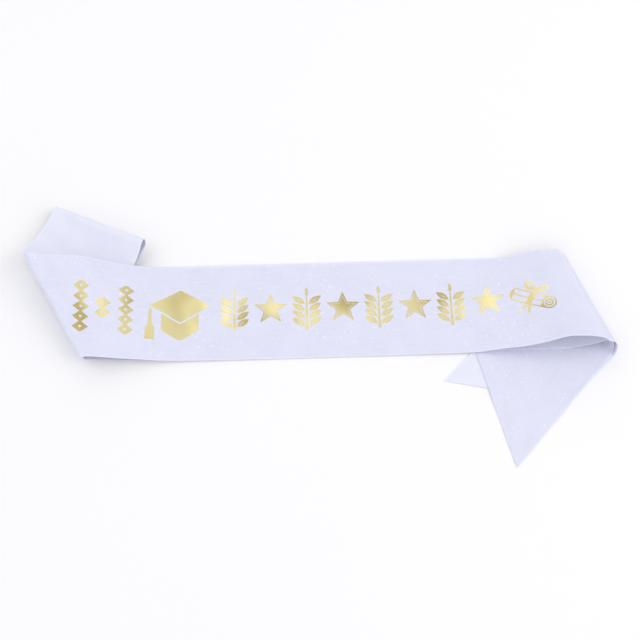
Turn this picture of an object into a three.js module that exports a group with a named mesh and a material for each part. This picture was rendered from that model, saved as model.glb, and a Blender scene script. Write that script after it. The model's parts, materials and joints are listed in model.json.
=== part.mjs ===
import * as THREE from "three";
import { mergeVertices } from "three/addons/utils/BufferGeometryUtils.js";

// A long ribbon sash with foil ornaments, folded in half and laid down with both halves together.
// Millimetres and degrees. +X runs along the main stretch, +Y across it to the far edge, +Z up,
// and z = 0 is the surface that it lies on, under the middle of the main stretch.

// Cloth
const bandWidth = 95;
const clothThickness = 1;
const layerGap = 0.4;

// Stretches of the folded ribbon, measured along its middle
const mainLength = 483;
const flapLength = 107;
const backTailLength = 133;
const frontTailLength = 141;
const cutAngle = 56;

// Directions in plan in which the flap and the two tails leave the main stretch
const flapHeading = 65;
const backTailHeading = -136;
const frontTailHeading = -131;

// Greatest height to which the springy cloth stands off the surface
const cornerLift = 38;

// How far each roll of cloth stands out past its crease, at the far and the near edge
const outerLeftRoll = { far: 1.2, near: 4 };
const innerLeftRoll = { far: 2, near: 2 };
const middleRoll = { far: 3.6, near: 3.2 };
const outerRightRoll = { far: 1.4, near: 4.8 };
const innerRightRoll = { far: 0.7, near: 0.7 };

// How far the lower layer's right crease stays inside the upper one's, and how far the lower
// layer lies to the far side of the upper one
const nestingInset = 6.5;
const lowerLayerShift = 2;

// The run in which both layers climb onto the tails, how far before the tails' edge they are up,
// and the run in which the front tail comes down from the back one
const climb = 45;
const climbMargin = 10;
const tailClimb = 30;

// Foil ornaments on the upper layer
const foilThickness = 0.4;
const foilGap = 0.4;
const beadColumnHeight = 49;
const capHeight = 51;
const tasselHeight = 31;
const sprigHeight = 43;
const diplomaHeight = 13;
const bowHeight = 21;
const diplomaTurn = -27;

const layerPitch = clothThickness + layerGap;
const ornamentPitch = mainLength / 14.5;

const rad = THREE.MathUtils.degToRad;
const direction = (angle) => new THREE.Vector2(Math.cos(rad(angle)), Math.sin(rad(angle)));
const mix = THREE.MathUtils.lerp;

// Heights along a stretch, as shares of the greatest lift: a row for each section across the band.
const upperHeights = [
  { along: 0, far: 1.02, middle: 0.74, near: 0.47 },
  { along: 0.05, far: 0.88, middle: 0.59, near: 0.32 },
  { along: 0.085, far: 0.83, middle: 0.5, near: 0.23 },
  { along: 0.136, far: 0.51, middle: 0.28, near: 0.09 },
  { along: 0.19, far: 0.19, middle: 0.09, near: 0.03 },
  { along: 0.24, far: 0.04, middle: 0.02, near: 0.02 },
  { along: 0.3, far: 0, middle: 0, near: 0 },
  { along: 0.74, far: 0, middle: 0, near: 0 },
  { along: 0.79, far: 0, middle: 0.06, near: 0.18 },
  { along: 0.83, far: 0.01, middle: 0.14, near: 0.28 },
  { along: 0.87, far: 0.04, middle: 0.23, near: 0.5 },
  { along: 0.92, far: 0.27, middle: 0.46, near: 0.84 },
  { along: 0.955, far: 0.43, middle: 0.56, near: 0.8 },
  { along: 0.98, far: 0.43, middle: 0.51, near: 0.67 },
  { along: 1, far: 0.16, middle: 0.25, near: 0.43 },
];
const flapHeights = [
  { along: 0, far: 0.57, middle: 0.46, near: 0.35 },
  { along: 0.3, far: 0.35, middle: 0.31, near: 0.23 },
  { along: 0.6, far: 0.25, middle: 0.21, near: 0.16 },
  { along: 0.8, far: 0.22, middle: 0.2, near: 0.13 },
  { along: 0.9, far: 0.24, middle: 0.25, near: 0.25 },
  { along: 1, far: 0.28, middle: 0.36, near: 0.47 },
];
const underFlapHeights = [
  { along: 0, far: 0, middle: 0.04, near: 0.13 },
  { along: 0.2, far: 0.02, middle: 0.07, near: 0.07 },
  { along: 0.4, far: 0.12, middle: 0.13, near: 0.1 },
  { along: 0.7, far: 0.27, middle: 0.22, near: 0.17 },
  { along: 1, far: 0.54, middle: 0.4, near: 0.31 },
];
const lowerHeights = [
  { along: 0, far: 0.17, middle: 0.15, near: 0.15 },
  { along: 0.06, far: 0.09, middle: 0.07, near: 0.07 },
  { along: 0.14, far: 0.02, middle: 0.01, near: 0 },
  { along: 0.2, far: 0, middle: 0, near: 0 },
  { along: 1, far: 0, middle: 0, near: 0 },
];

// A smooth value of one column between its rows, without overshoot.
function columnValue(rows, name, along) {
  const last = rows.length - 1;
  let i = 0;
  while (i < last - 1 && along > rows[i + 1].along) i += 1;
  const rise = (k) => (rows[k + 1][name] - rows[k][name]) / (rows[k + 1].along - rows[k].along);
  const slope = (k) => {
    if (k === 0 || k === last) return 0;
    const before = rise(k - 1);
    const after = rise(k);
    return before * after <= 0 ? 0 : (2 * before * after) / (before + after);
  };
  const span = rows[i + 1].along - rows[i].along;
  const t = THREE.MathUtils.clamp((along - rows[i].along) / span, 0, 1);
  const ease = t * t * (3 - 2 * t);
  const start = slope(i) * t * (1 - t) * (1 - t);
  const end = slope(i + 1) * t * t * (t - 1);
  return mix(rows[i][name], rows[i + 1][name], ease) + span * (start + end);
}

// Height at a share along the stretch and a share across it, from the near edge to the far one.
function tableHeight(rows, along, across) {
  const near = columnValue(rows, "near", along);
  const middle = columnValue(rows, "middle", along);
  const far = columnValue(rows, "far", along);
  const side = 2 * across - 1;
  const bow = (near + far) / 2 - middle;
  return cornerLift * (middle + (side * (far - near)) / 2 + bow * side * side);
}

// A stretch in plan: where it starts, its heading, and the side on which its far edge lies.
function planPoint(run, along, across) {
  const ahead = direction(run.heading).multiplyScalar(along);
  const aside = direction(run.heading + 90).multiplyScalar(across * run.side);
  return run.start.clone().add(ahead).add(aside);
}

const cot = (angle) => 1 / Math.tan(rad(angle));

// The way round half of an oval
const halfOval = (halfWidth, halfHeight) => Math.PI * Math.hypot(halfWidth, halfHeight) * Math.SQRT1_2;

// A crease across the band: the ribbon rolls over it and leaves under or over itself.
function creaseAfter(run, reach, nextHeading, roll, halfHeight) {
  const turn = THREE.MathUtils.euclideanModulo(run.side * (nextHeading - run.heading), 360);
  const length = bandWidth / Math.sin(rad(turn / 2));
  const farArc = halfOval(roll.far, halfHeight.far);
  const nearArc = halfOval(roll.near, halfHeight.near);
  const fan = THREE.MathUtils.radToDeg(Math.atan((farArc - nearArc) / length));
  const before = (turn + fan) / 2;
  const after = (turn - fan) / 2;
  const arc = (farArc + nearArc) / 2;
  const shift = new THREE.Vector2(Math.sin(rad(before)), -Math.cos(rad(before))).multiplyScalar(arc);
  const centre = planPoint(run, reach, 0);
  const next = { start: new THREE.Vector2(), heading: nextHeading, side: -run.side };
  next.start = centre.clone().sub(planPoint(next, shift.x, shift.y));
  const crease = { next, roll, length, fan, before, shift, centre };
  crease.lead = (across) => planPoint(run, reach + across * cot(before), across);
  crease.leave = (across) => planPoint(next, shift.x + (across - shift.y) * cot(after), across);
  crease.ahead = direction(run.heading + run.side * before);
  crease.out = direction(run.heading + run.side * (before - 90));
  return crease;
}

// Each part of the surface takes shares along and across, and gives a point of the cloth's middle.
function stretchSurface(startLine, endLine, height) {
  return (along, across) => {
    const w = (across - 0.5) * bandWidth;
    const plan = startLine(w).lerp(endLine(w), along);
    return new THREE.Vector3(plan.x, plan.y, height(along, across, plan) + clothThickness / 2);
  };
}
function rollSurface(crease, startHeight, endHeight) {
  return (along, across) => {
    const w = (across - 0.5) * bandWidth;
    const angle = crease.before - along * crease.fan;
    const place = (w - along * crease.shift.y) / Math.sin(rad(angle));
    const bulge = mix(crease.roll.near, crease.roll.far, place / crease.length + 0.5);
    const plan = crease.centre.clone().addScaledVector(crease.ahead, place);
    plan.addScaledVector(crease.out, bulge * Math.sin(Math.PI * along));
    const level = mix(startHeight(across), endHeight(across), (1 - Math.cos(Math.PI * along)) / 2);
    return new THREE.Vector3(plan.x, plan.y, level + clothThickness / 2);
  };
}
const reversed = (surface) => (along, across) => surface(1 - along, across);

// Half the height between the two layers that a crease joins, at each edge.
function halfHeights(upper, lower) {
  return { far: Math.abs(upper(1) - lower(1)) / 2, near: Math.abs(upper(0) - lower(0)) / 2 };
}

// The upper layer of the main stretch, and its fold into the back tail at the right
const mainMiddle = new THREE.Vector2(0, 0);
const upperToRight = { start: mainMiddle, heading: 0, side: 1 };
const upperToLeft = { start: mainMiddle, heading: 180, side: -1 };
const onSurface = () => 0;
const onTails = () => 2 * layerPitch;
const upperLeftEnd = (across) => layerPitch + tableHeight(upperHeights, 0, across);
const upperRightEnd = (across) => onTails() + layerPitch + tableHeight(upperHeights, 1, across);
const outerRight = creaseAfter(
  upperToRight, mainLength / 2, backTailHeading, outerRightRoll, halfHeights(upperRightEnd, onSurface),
);
const backTail = outerRight.next;

// Both layers of the main stretch climb onto the tails, where a place lies inside the back tail.
function overTails(plan) {
  const corner = planPoint(backTail, 0, bandWidth / 2);
  const inward = direction(backTail.heading - 90 * backTail.side);
  const inside = plan.clone().sub(corner).dot(inward) + climbMargin;
  return onTails() * THREE.MathUtils.smoothstep(inside, -climb, 0);
}
const upperHeight = (along, across, plan) =>
  overTails(plan) + layerPitch + tableHeight(upperHeights, along, across);
const lowerHeight = (along, across, plan) => overTails(plan) + tableHeight(lowerHeights, along, across);

// The left folds: the upper layer into the flap, the flap's own turn, and back under the main stretch
const flapHeight = (along, across) => layerPitch + tableHeight(flapHeights, along, across);
const underFlapHeight = (along, across) => tableHeight(underFlapHeights, along, across);
const flapStart = (across) => flapHeight(0, across);
const flapEnd = (across) => flapHeight(1, across);
const underFlapStart = (across) => underFlapHeight(0, across);
const underFlapEnd = (across) => underFlapHeight(1, across);
const lowerStart = (across) => tableHeight(lowerHeights, 0, across);
const outerLeft = creaseAfter(
  upperToLeft, mainLength / 2, flapHeading, outerLeftRoll, halfHeights(upperLeftEnd, flapStart),
);
const middle = creaseAfter(
  outerLeft.next, flapLength, flapHeading + 180, middleRoll, halfHeights(flapEnd, underFlapStart),
);

// The under flap's crease is set where the lower layer comes to lie straight under the upper one.
function creaseToMain(run, roll, halfHeight) {
  const trial = creaseAfter(run, flapLength, 0, roll, halfHeight);
  const drift = planPoint(trial.next, 0, 0).y - lowerLayerShift;
  const reach = flapLength + drift / Math.sin(rad(-run.heading));
  return creaseAfter(run, reach, 0, roll, halfHeight);
}
const innerLeft = creaseToMain(middle.next, innerLeftRoll, halfHeights(underFlapEnd, lowerStart));
const lowerLayer = innerLeft.next;
const lowerReach = outerRight.centre.x - nestingInset - lowerLayer.start.x;
const onBackTail = () => layerPitch;
const innerRight = creaseAfter(
  lowerLayer, lowerReach, frontTailHeading, innerRightRoll, halfHeights(onTails, onBackTail),
);
const frontTail = innerRight.next;

// The cut ends, parallel to each other on the flat ribbon
const backCut = (w) => planPoint(backTail, backTailLength + w * cot(cutAngle), w);
const frontCut = (w) => planPoint(frontTail, frontTailLength - w * cot(cutAngle), w);

// The front tail lies on the back tail, and comes down to the surface past its edge and its cut.
function frontTailHeight(along, across, plan) {
  const away = plan.clone().sub(backCut(bandWidth / 2));
  const behindCut = -away.dot(direction(backTail.heading - backTail.side * (90 - cutAngle)));
  const besideEdge = away.dot(direction(backTail.heading + 90 * backTail.side)) + bandWidth;
  const inside = Math.min(behindCut, besideEdge);
  return layerPitch * THREE.MathUtils.smoothstep(inside, -tailClimb, 0);
}

// The ribbon from the back tail's cut to the front tail's, with the sections of each part
const upperLayer = stretchSurface(outerLeft.lead, outerRight.lead, upperHeight);
const ribbon = [
  { surface: reversed(stretchSurface(outerRight.leave, backCut, onSurface)), sections: 8 },
  { surface: reversed(rollSurface(outerRight, upperRightEnd, onSurface)), sections: 10 },
  { surface: reversed(upperLayer), sections: 66 },
  { surface: rollSurface(outerLeft, upperLeftEnd, flapStart), sections: 10 },
  { surface: stretchSurface(outerLeft.leave, middle.lead, flapHeight), sections: 14 },
  { surface: rollSurface(middle, flapEnd, underFlapStart), sections: 12 },
  { surface: stretchSurface(middle.leave, innerLeft.lead, underFlapHeight), sections: 12 },
  { surface: rollSurface(innerLeft, underFlapEnd, lowerStart), sections: 10 },
  { surface: stretchSurface(innerLeft.leave, innerRight.lead, lowerHeight), sections: 38 },
  { surface: rollSurface(innerRight, onTails, onBackTail), sections: 6 },
  { surface: stretchSurface(innerRight.leave, frontCut, frontTailHeight), sections: 12 },
];
const sectionsAcross = 8;

function bandGeometry() {
  const rows = [];
  ribbon.forEach(({ surface, sections }, part) => {
    for (let i = part ? 1 : 0; i <= sections; i += 1) {
      const point = (_, j) => surface(i / sections, j / sectionsAcross);
      rows.push(Array.from({ length: sectionsAcross + 1 }, point));
    }
  });
  const clamp = (k, most) => Math.min(Math.max(k, 0), most);
  const lastRow = rows.length - 1;
  const positions = [];
  for (const face of [1, -1]) {
    rows.forEach((row, i) =>
      row.forEach((point, j) => {
        const along = rows[clamp(i + 1, lastRow)][j].clone().sub(rows[clamp(i - 1, lastRow)][j]);
        const across = row[clamp(j + 1, sectionsAcross)].clone().sub(row[clamp(j - 1, sectionsAcross)]);
        const normal = across.cross(along).normalize();
        const at = point.clone().addScaledVector(normal, (face * clothThickness) / 2);
        positions.push(at.x, at.y, at.z);
      }),
    );
  }
  const width = sectionsAcross + 1;
  const under = rows.length * width;
  const index = [];
  const quad = (a, b, c, d) => index.push(a, b, c, a, c, d);
  for (let i = 0; i < lastRow; i += 1) {
    for (let j = 0; j < sectionsAcross; j += 1) {
      const a = i * width + j;
      quad(a, a + 1, a + 1 + width, a + width);
      quad(under + a, under + a + width, under + a + 1 + width, under + a + 1);
    }
    const near = i * width;
    const far = near + sectionsAcross;
    quad(near, near + width, under + near + width, under + near);
    quad(far, under + far, under + far + width, far + width);
  }
  for (let j = 0; j < sectionsAcross; j += 1) {
    const end = lastRow * width + j;
    quad(j, under + j, under + j + 1, j + 1);
    quad(end, end + 1, under + end + 1, under + end);
  }
  const geometry = new THREE.BufferGeometry();
  geometry.setAttribute("position", new THREE.Float32BufferAttribute(positions, 3));
  geometry.setIndex(index);
  return geometry;
}

// A point above the upper layer's face, by its place along and across the main stretch
const slopeStep = 1;
function overUpperLayer(x, w, above) {
  const left = outerLeft.lead(w).x;
  const right = outerRight.lead(w).x;
  const at = (place, across) => upperLayer((place - left) / (right - left), across / bandWidth + 0.5);
  const ahead = at(x + slopeStep, w).sub(at(x - slopeStep, w));
  const aside = at(x, w + slopeStep).sub(at(x, w - slopeStep));
  const normal = ahead.cross(aside).normalize();
  return at(x, w).addScaledVector(normal, clothThickness / 2 + above);
}

// Splits each triangle into four, so that a flat outline can follow the cloth.
function halveEdges(geometry) {
  const place = geometry.getAttribute("position");
  const points = Array.from({ length: place.count }, (_, i) =>
    new THREE.Vector3().fromBufferAttribute(place, i),
  );
  const index = [];
  const seen = new Map();
  const between = (a, b) => {
    const key = a < b ? `${a},${b}` : `${b},${a}`;
    if (!seen.has(key)) {
      seen.set(key, points.length);
      points.push(points[a].clone().lerp(points[b], 0.5));
    }
    return seen.get(key);
  };
  for (let i = 0; i < geometry.index.count; i += 3) {
    const [a, b, c] = [0, 1, 2].map((k) => geometry.index.getX(i + k));
    const [ab, bc, ca] = [between(a, b), between(b, c), between(c, a)];
    index.push(a, ab, ca, ab, b, bc, ca, bc, c, ab, bc, ca);
  }
  return new THREE.BufferGeometry().setFromPoints(points).setIndex(index);
}

// A foil piece: its outline is drawn flat about its own middle, and laid over the cloth.
function foilGeometry(shape, x, w, turn, halvings) {
  let geometry = new THREE.ExtrudeGeometry(shape, {
    depth: foilThickness,
    bevelEnabled: false,
    curveSegments: 3,
  });
  geometry.deleteAttribute("normal");
  geometry.deleteAttribute("uv");
  geometry.rotateZ(rad(turn));
  geometry = mergeVertices(geometry, 1e-4);
  for (let i = 0; i < halvings; i += 1) geometry = halveEdges(geometry);
  const place = geometry.getAttribute("position");
  for (let i = 0; i < place.count; i += 1) {
    const at = overUpperLayer(x + place.getX(i), w + place.getY(i), foilGap + place.getZ(i));
    place.setXYZ(i, at.x, at.y, at.z);
  }
  return geometry;
}

// Outlines of the ornaments, each closed and about its own middle

// A star, whose waist is a share of its points' reach
function starShape(points, width, height, waist) {
  const corners = Array.from({ length: 2 * points }, (_, i) => {
    const reach = i % 2 ? waist / 2 : 0.5;
    const angle = Math.PI / 2 + (i * Math.PI) / points;
    return new THREE.Vector2(reach * width * Math.cos(angle), reach * height * Math.sin(angle));
  });
  return new THREE.Shape(corners);
}

// A laurel sprig: pairs of leaves on a stem, and one at the top. Leaf heights are shares of the
// pitch of the pairs, and leaf widths shares of the sprig's width.
const leaf = { root: 0.36, tip: 1.2, back: 1.05, backReach: 0.13, belly: 0.12, bellyReach: 0.34 };
const topLeaf = { height: 1.4, bellyReach: 0.2 };
function sprigShape(pairs, width, height) {
  const stem = width * 0.035;
  const pitch = height / (pairs + 0.5 + topLeaf.height);
  const bottom = -height / 2;
  const rootOf = (i) => bottom + pitch * (i + 0.5);
  const crown = rootOf(pairs);
  const belly = crown + pitch * 0.5;
  const shape = new THREE.Shape();
  shape.moveTo(-stem, bottom);
  shape.lineTo(stem, bottom);
  for (let i = 0; i < pairs; i += 1) {
    const y = rootOf(i);
    shape.lineTo(stem, y);
    shape.quadraticCurveTo(width * leaf.bellyReach, y + pitch * leaf.belly, width / 2, y + pitch * leaf.tip);
    shape.quadraticCurveTo(width * leaf.backReach, y + pitch * leaf.back, stem, y + pitch * leaf.root);
  }
  shape.lineTo(stem, crown);
  shape.quadraticCurveTo(width * topLeaf.bellyReach, belly, 0, height / 2);
  shape.quadraticCurveTo(-width * topLeaf.bellyReach, belly, -stem, crown);
  for (let i = pairs - 1; i >= 0; i -= 1) {
    const y = rootOf(i);
    shape.lineTo(-stem, y + pitch * leaf.root);
    shape.quadraticCurveTo(-width * leaf.backReach, y + pitch * leaf.back, -width / 2, y + pitch * leaf.tip);
    shape.quadraticCurveTo(-width * leaf.bellyReach, y + pitch * leaf.belly, -stem, y);
  }
  shape.closePath();
  return shape;
}

// A column of lozenges that run into each other at narrow necks
function lozengeColumnShape(count, width, height) {
  const neck = width * 0.08;
  const pitch = height / count;
  const neckHeight = pitch * 0.02;
  const right = [];
  for (let i = 0; i < count; i += 1) {
    const y = -height / 2 + pitch * i;
    right.push([neck, y], [width / 2, y + pitch / 2], [neck, y + pitch - neckHeight]);
  }
  const left = right.map(([x, y]) => [-x, y]).reverse();
  return new THREE.Shape([...right, ...left].map(([x, y]) => new THREE.Vector2(x, y)));
}

// The cap seen from the front and above, in shares of its width and height: its board, the crown
// under it, and the tassel at its left
const board = { top: 0.5, side: 0.19, bottom: -0.15 };
const crown = { half: 0.31, shade: 0.05, side: -0.33, bottom: -0.5 };
const tassel = { halfCord: 0.012, halfTuft: 0.075, tuftTop: -0.02 };
function outline(corners, width, height) {
  return new THREE.Shape(corners.map(([x, y]) => new THREE.Vector2(x * width, y * height)));
}
function capBoardShape(width, height) {
  return outline([[0, board.top], [-0.5, board.side], [0, board.bottom], [0.5, board.side]], width, height);
}
function capCrownShape(width, height) {
  const slope = (board.side - board.bottom) / 0.5;
  const rim = (board.bottom - crown.shade) * height;
  const rimSide = rim + slope * crown.half * height;
  const half = crown.half * width;
  const side = crown.side * height;
  const bottom = crown.bottom * height;
  const shape = new THREE.Shape();
  shape.moveTo(-half, rimSide);
  shape.lineTo(0, rim);
  shape.lineTo(half, rimSide);
  shape.lineTo(half, side);
  shape.quadraticCurveTo(half / 2, bottom, 0, bottom);
  shape.quadraticCurveTo(-half / 2, bottom, -half, side);
  shape.closePath();
  return shape;
}
function capTasselShape(width, height) {
  const right = [
    [tassel.halfTuft, -0.5],
    [tassel.halfCord, tassel.tuftTop],
    [tassel.halfCord, 0.5],
  ];
  const left = right.map(([x, y]) => [-x, y]).reverse();
  return outline([...right, ...left], width, height);
}

// A rolled diploma: the roll with its open end, and the bow that ties it
function rollShape(length, height) {
  const half = height / 2;
  const left = -length / 2;
  const endMiddle = length / 2 - half;
  const shape = new THREE.Shape();
  shape.moveTo(left, -half);
  shape.lineTo(endMiddle, -half);
  shape.absarc(endMiddle, 0, half, -Math.PI / 2, Math.PI / 2, false);
  shape.lineTo(left, half);
  shape.quadraticCurveTo(left + half, 0, left, -half);
  const opening = new THREE.Path();
  opening.absarc(endMiddle, 0, half * 0.55, 0, Math.PI * 2, true);
  shape.holes.push(opening);
  return shape;
}

// One half of the bow, from the knot's top round its loop and tail to the knot's bottom, in
// shares of its width and height
const bow = {
  knotTop: [0.08, 0.09],
  loopTop: [0.3, 0.5],
  loopEnd: [0.5, 0.3],
  loopUnder: [0.42, 0],
  knotSide: [0.08, -0.02],
  tailOuter: [0.28, -0.5],
  tailInner: [0.13, -0.42],
  knotBottom: [0, -0.09],
};
function bowShape(width, height) {
  const right = (name) => [bow[name][0] * width, bow[name][1] * height];
  const left = (name) => [-bow[name][0] * width, bow[name][1] * height];
  const shape = new THREE.Shape();
  shape.moveTo(...left("knotTop"));
  shape.quadraticCurveTo(...left("loopTop"), ...left("loopEnd"));
  shape.quadraticCurveTo(...left("loopUnder"), ...left("knotSide"));
  shape.lineTo(...left("tailOuter"));
  shape.lineTo(...left("tailInner"));
  shape.lineTo(...right("knotBottom"));
  shape.lineTo(...right("tailInner"));
  shape.lineTo(...right("tailOuter"));
  shape.lineTo(...right("knotSide"));
  shape.quadraticCurveTo(...right("loopUnder"), ...right("loopEnd"));
  shape.quadraticCurveTo(...right("loopTop"), ...right("knotTop"));
  shape.closePath();
  return shape;
}

const satin = new THREE.MeshStandardMaterial({ color: 0xe6e8fb, roughness: 0.6, metalness: 0 });
const foil = new THREE.MeshStandardMaterial({ color: 0xdcc27c, roughness: 0.3, metalness: 1 });

const sash = new THREE.Group();
function addPiece(name, geometry, material) {
  const mesh = new THREE.Mesh(geometry, material.clone());
  mesh.name = name;
  sash.add(mesh);
}
addPiece("satin_band", bandGeometry(), satin);

// Widths of the foil pieces, as shares of the ornaments' pitch
const widths = { beads: 0.42, cap: 1.65, star: 0.98, sprig: 0.8, diploma: 1.3, bow: 0.72 };
const width = (name) => widths[name] * ornamentPitch;
const beadCount = 5;
const column = (count) => lozengeColumnShape(count, width("beads"), (count * beadColumnHeight) / beadCount);
const capBoard = capBoardShape(width("cap"), capHeight);
const capCrown = capCrownShape(width("cap"), capHeight);
const capTassel = capTasselShape(width("cap"), tasselHeight);
const star = starShape(5, width("star"), width("star"), 0.42);
const sprig = sprigShape(4, width("sprig"), sprigHeight);
const roll = rollShape(width("diploma"), diplomaHeight);
const rollBow = bowShape(width("bow"), bowHeight);

// Where the foil pieces lie: x and w are shares of the ornaments' pitch along and across the band,
// counted from the middle of the main stretch.
const foilPieces = [
  { name: "bead_column_1", shape: column(beadCount), x: -6.6, w: 0, turn: 0, halvings: 1 },
  { name: "bead_column_2", shape: column(2), x: -6.03, w: 0, turn: 0, halvings: 1 },
  { name: "bead_column_3", shape: column(beadCount), x: -5.43, w: 0, turn: 0, halvings: 1 },
  { name: "cap_board", shape: capBoard, x: -3.98, w: -0.06, turn: 0, halvings: 2 },
  { name: "cap_crown", shape: capCrown, x: -3.98, w: -0.06, turn: 0, halvings: 1 },
  { name: "cap_tassel", shape: capTassel, x: -4.86, w: -0.38, turn: 0, halvings: 1 },
  { name: "sprig_1", shape: sprig, x: -2.48, w: 0.06, turn: 0, halvings: 0 },
  { name: "star_1", shape: star, x: -1.48, w: 0.06, turn: 0, halvings: 0 },
  { name: "sprig_2", shape: sprig, x: -0.48, w: 0.06, turn: 0, halvings: 0 },
  { name: "star_2", shape: star, x: 0.52, w: 0.06, turn: 0, halvings: 0 },
  { name: "sprig_3", shape: sprig, x: 1.52, w: 0.06, turn: 0, halvings: 0 },
  { name: "star_3", shape: star, x: 2.52, w: 0.06, turn: 0, halvings: 0 },
  { name: "sprig_4", shape: sprig, x: 3.52, w: 0.06, turn: 0, halvings: 1 },
  { name: "star_4", shape: star, x: 4.52, w: 0.06, turn: 0, halvings: 2 },
  { name: "diploma_roll", shape: roll, x: 5.72, w: -0.06, turn: diplomaTurn, halvings: 1 },
  { name: "diploma_bow", shape: rollBow, x: 5.8, w: 0.62, turn: diplomaTurn, halvings: 1 },
];
for (const { name, shape, x, w, turn, halvings } of foilPieces) {
  addPiece(name, foilGeometry(shape, x * ornamentPitch, w * ornamentPitch, turn, halvings), foil);
}

export default sash;
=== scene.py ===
"""A white satin ribbon sash with gold foil ornaments, folded in half and laid on a pale floor."""
import json
import math
from collections import namedtuple
from functools import partial

import bmesh
import bpy
import numpy as np
from mathutils import Matrix, Vector

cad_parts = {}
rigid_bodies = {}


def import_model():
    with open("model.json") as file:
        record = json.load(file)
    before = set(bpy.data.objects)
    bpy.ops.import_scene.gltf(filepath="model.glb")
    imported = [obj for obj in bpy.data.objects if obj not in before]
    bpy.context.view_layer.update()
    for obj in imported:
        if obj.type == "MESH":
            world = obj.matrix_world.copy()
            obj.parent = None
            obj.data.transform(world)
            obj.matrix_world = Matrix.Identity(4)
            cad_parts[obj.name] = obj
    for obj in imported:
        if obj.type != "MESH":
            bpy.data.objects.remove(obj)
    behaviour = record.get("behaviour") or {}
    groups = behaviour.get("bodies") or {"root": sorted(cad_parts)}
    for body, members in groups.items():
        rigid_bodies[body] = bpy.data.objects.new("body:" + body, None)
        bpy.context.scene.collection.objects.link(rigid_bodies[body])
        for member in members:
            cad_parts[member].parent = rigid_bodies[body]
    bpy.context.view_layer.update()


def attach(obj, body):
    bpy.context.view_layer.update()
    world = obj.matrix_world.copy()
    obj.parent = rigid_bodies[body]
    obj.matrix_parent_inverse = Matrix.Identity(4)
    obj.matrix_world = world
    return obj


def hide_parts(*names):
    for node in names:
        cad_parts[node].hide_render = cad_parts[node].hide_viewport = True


bl_info = {
    "name": "Folded ribbon sash",
    "version": (1, 0, 0),
    "blender": (4, 5, 0),
    "location": "View3D > Sidebar > Sash",
    "description": "Lays a folded satin ribbon sash with foil ornaments, and lights it",
    "category": "Object",
}

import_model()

MM = 0.001


# Sizes and colours that a user would change

def size_property(name, text, millimetres):
    return bpy.props.FloatProperty(
        name=name, description=text, default=millimetres * MM, subtype="DISTANCE", unit="LENGTH"
    )


def angle_property(name, text, degrees):
    return bpy.props.FloatProperty(
        name=name, description=text, default=math.radians(degrees), subtype="ANGLE"
    )


def colour_property(name, text, default):
    return bpy.props.FloatVectorProperty(
        name=name, description=text, default=default, subtype="COLOR", size=3
    )


class SashBandSizes(bpy.types.PropertyGroup):
    width: size_property("Width", "Width of the ribbon", 95)
    thickness: size_property("Thickness", "Thickness of the cloth", 0.4)
    layer_gap: size_property("Layer gap", "Air between layers that lie on each other", 0.35)
    main_length: size_property("Main length", "Stretch between the two outer folds", 483)
    flap_length: size_property("Flap length", "Stretch from a left fold to the middle", 108.5)
    back_tail_length: size_property("Back tail", "Stretch from the outer fold to its cut", 133)
    front_tail_length: size_property("Front tail", "Stretch from the inner fold to its cut", 147)
    cut_angle: angle_property("Cut angle", "Slant of the cut ends", 56)
    corner_lift: size_property("Corner lift", "Greatest height of the springy folds", 38)
    selvage_width: size_property("Selvage width", "Width of the woven edge", 1.3)
    selvage_rise: size_property("Selvage rise", "Extra thickness of the woven edge", 0.2)
    ripple_height: size_property("Ripple height", "Height of the laid cloth's soft waves", 0.5)
    section_pitch: size_property("Section pitch", "Distance between cross-sections", 2.6)


class SashFoilSizes(bpy.types.PropertyGroup):
    thickness: size_property("Thickness", "Thickness of the foil print", 0.1)
    bead_column_height: size_property("Bead column", "Height of the long bead columns", 49)
    cap_height: size_property("Cap height", "Height of the cap", 51)
    tassel_height: size_property("Tassel height", "Height of the cap's tassel", 31)
    sprig_height: size_property("Sprig height", "Height of a laurel sprig", 43)
    diploma_height: size_property("Diploma height", "Thickness of the rolled diploma", 13)
    bow_height: size_property("Bow height", "Height of the diploma's bow", 16)
    cut_pitch: size_property("Cut pitch", "Size of the facets that follow the cloth", 1.9)


class SashLooks(bpy.types.PropertyGroup):
    front: colour_property("Front", "Satin of the printed face", (0.715, 0.727, 0.875))
    back: colour_property("Back", "Satin of the plain face", (0.785, 0.805, 0.925))
    foil: colour_property("Foil", "Gold of the ornaments", (1.0, 0.89, 0.46))
    floor: colour_property("Floor", "Pale floor", (0.93, 0.93, 0.94))


def sizes():
    return bpy.context.scene.sash_band


def foil_sizes():
    return bpy.context.scene.sash_foil


def looks():
    return bpy.context.scene.sash_looks


# Rows of a share along a stretch and the heights there at the far edge, middle and near edge, as
# shares of the corner lift
UPPER_HEIGHTS = (
    (0, 1.02, 0.74, 0.47),
    (0.05, 0.88, 0.59, 0.32),
    (0.085, 0.83, 0.5, 0.23),
    (0.136, 0.51, 0.28, 0.09),
    (0.19, 0.19, 0.09, 0.03),
    (0.24, 0.04, 0.02, 0.02),
    (0.3, 0, 0, 0),
    (0.74, 0, 0, 0),
    (0.79, 0, 0.06, 0.18),
    (0.83, 0.01, 0.14, 0.28),
    (0.87, 0.04, 0.23, 0.5),
    (0.92, 0.27, 0.46, 0.84),
    (0.955, 0.43, 0.56, 0.8),
    (0.98, 0.43, 0.51, 0.67),
    (1, 0.16, 0.25, 0.43),
)
FLAP_HEIGHTS = (
    (0, 0.57, 0.46, 0.35),
    (0.3, 0.35, 0.31, 0.23),
    (0.6, 0.25, 0.21, 0.16),
    (0.8, 0.22, 0.2, 0.13),
    (0.9, 0.24, 0.25, 0.25),
    (1, 0.28, 0.36, 0.47),
)
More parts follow.
